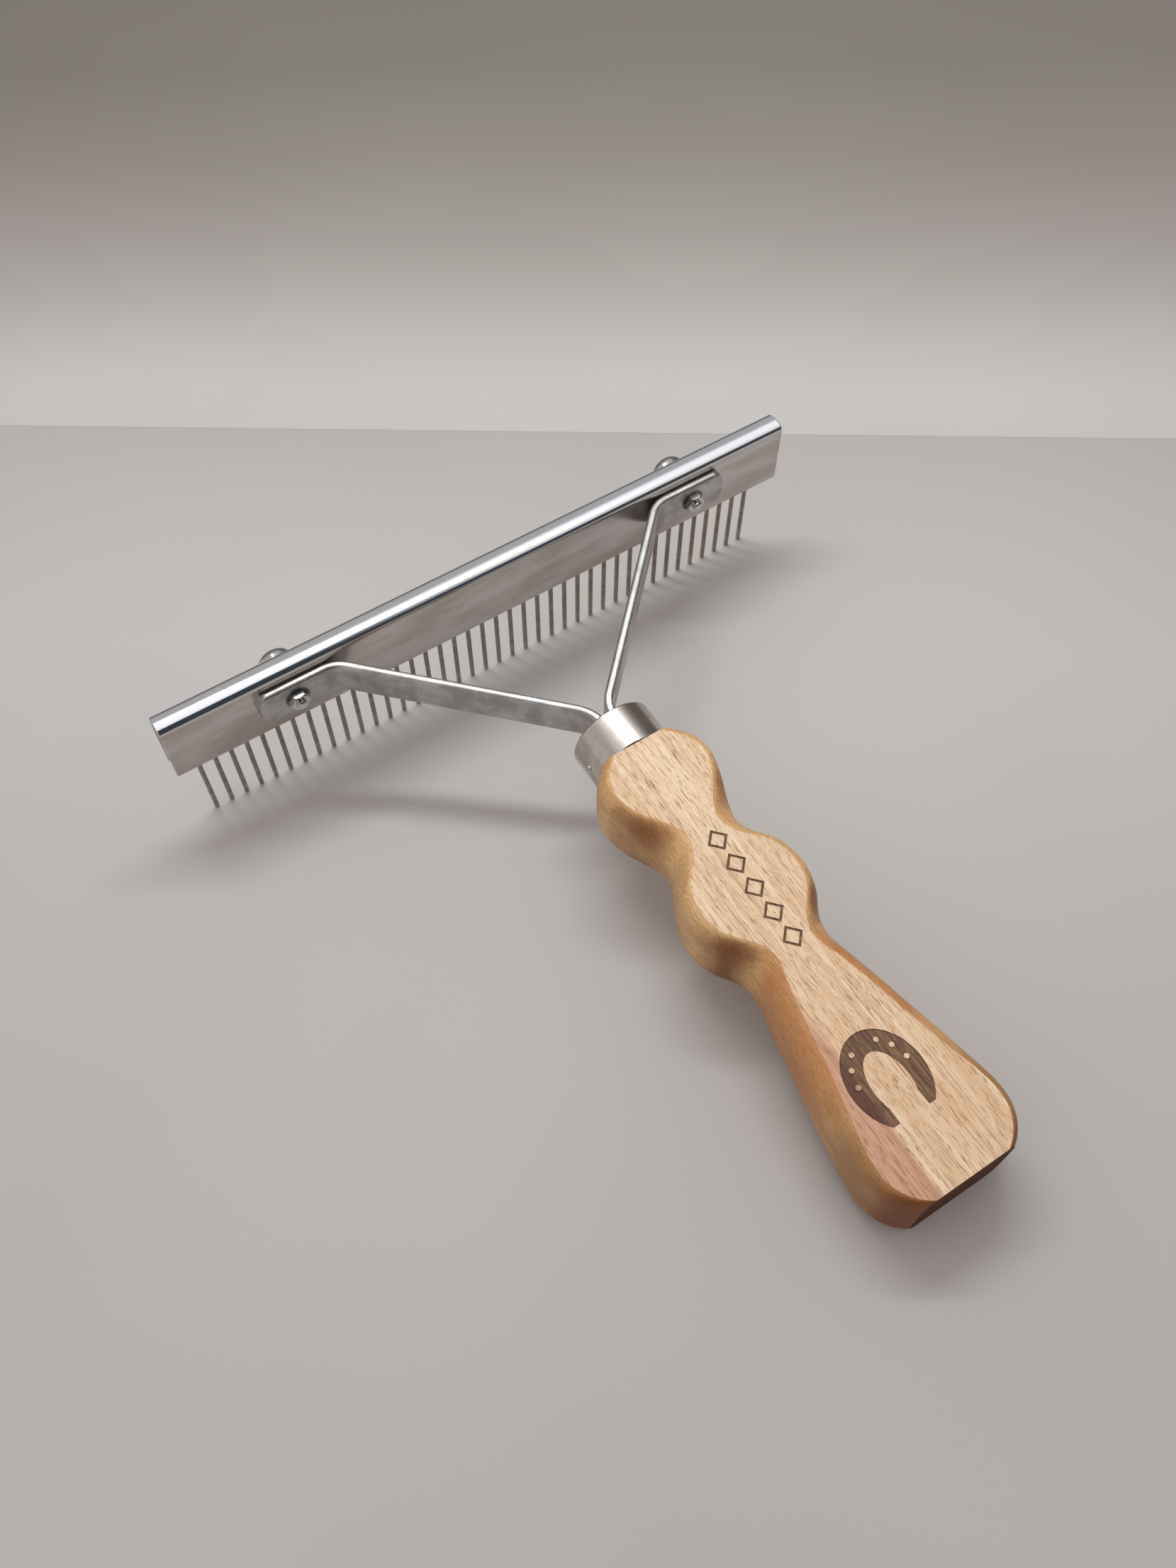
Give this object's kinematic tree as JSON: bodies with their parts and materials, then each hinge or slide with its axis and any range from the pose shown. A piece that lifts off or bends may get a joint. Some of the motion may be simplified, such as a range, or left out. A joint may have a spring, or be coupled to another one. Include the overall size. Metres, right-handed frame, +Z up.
{
  "type": "dematting comb",
  "caption": "Wide grooming comb: a folded metal back holds a row of long round teeth, and two bent straps join it through a ferrule to a waisted wooden handle.",
  "frame": {"origin": "centre of the bounding box's base: on the table that the tooth tips and the handle's butt rest on", "axes": "+X along the row of teeth to the right, +Y from the handle to the row of teeth, +Z up from the table"},
  "size_m": [0.2286, 0.2428, 0.0555],
  "materials": {
    "back_aluminium": "rolled sheet, satin, with a fine lengthwise grain",
    "bar_steel": "plain drawn bar",
    "tooth_steel": "drawn wire, slightly dull",
    "strap_metal": "plated strip, satin",
    "bolt_plating": "bright plated",
    "nut_plating": "bright plated",
    "ferrule_nickel": "brushed nickel plate",
    "brad_steel": "plain steel",
    "handle_wood": "oiled, pale flats and golden rounded sides"
  },
  "bodies": {
    "root": {"comb_back": "back_aluminium", "tooth_bar": "bar_steel", "tooth_01": "tooth_steel", "tooth_02": "tooth_steel", "tooth_03": "tooth_steel", "tooth_04": "tooth_steel", "tooth_05": "tooth_steel", "tooth_06": "tooth_steel", "tooth_07": "tooth_steel", "tooth_08": "tooth_steel", "tooth_09": "tooth_steel", "tooth_10": "tooth_steel", "tooth_11": "tooth_steel", "tooth_12": "tooth_steel", "tooth_13": "tooth_steel", "tooth_14": "tooth_steel", "tooth_15": "tooth_steel", "tooth_16": "tooth_steel", "tooth_17": "tooth_steel", "tooth_18": "tooth_steel", "tooth_19": "tooth_steel", "tooth_20": "tooth_steel", "tooth_21": "tooth_steel", "tooth_22": "tooth_steel", "tooth_23": "tooth_steel", "tooth_24": "tooth_steel", "tooth_25": "tooth_steel", "tooth_26": "tooth_steel", "tooth_27": "tooth_steel", "tooth_28": "tooth_steel", "tooth_29": "tooth_steel", "tooth_30": "tooth_steel", "tooth_31": "tooth_steel", "tooth_32": "tooth_steel", "tooth_33": "tooth_steel", "tooth_34": "tooth_steel", "tooth_35": "tooth_steel", "tooth_36": "tooth_steel", "tooth_37": "tooth_steel", "tooth_38": "tooth_steel", "tooth_39": "tooth_steel", "tooth_40": "tooth_steel", "strap_left": "strap_metal", "strap_right": "strap_metal", "bolt_left": "bolt_plating", "bolt_right": "bolt_plating", "nut_left": "nut_plating", "nut_right": "nut_plating", "ferrule": "ferrule_nickel", "ferrule_brad": "brad_steel", "handle": "handle_wood"}
  },
  "joints": []
}
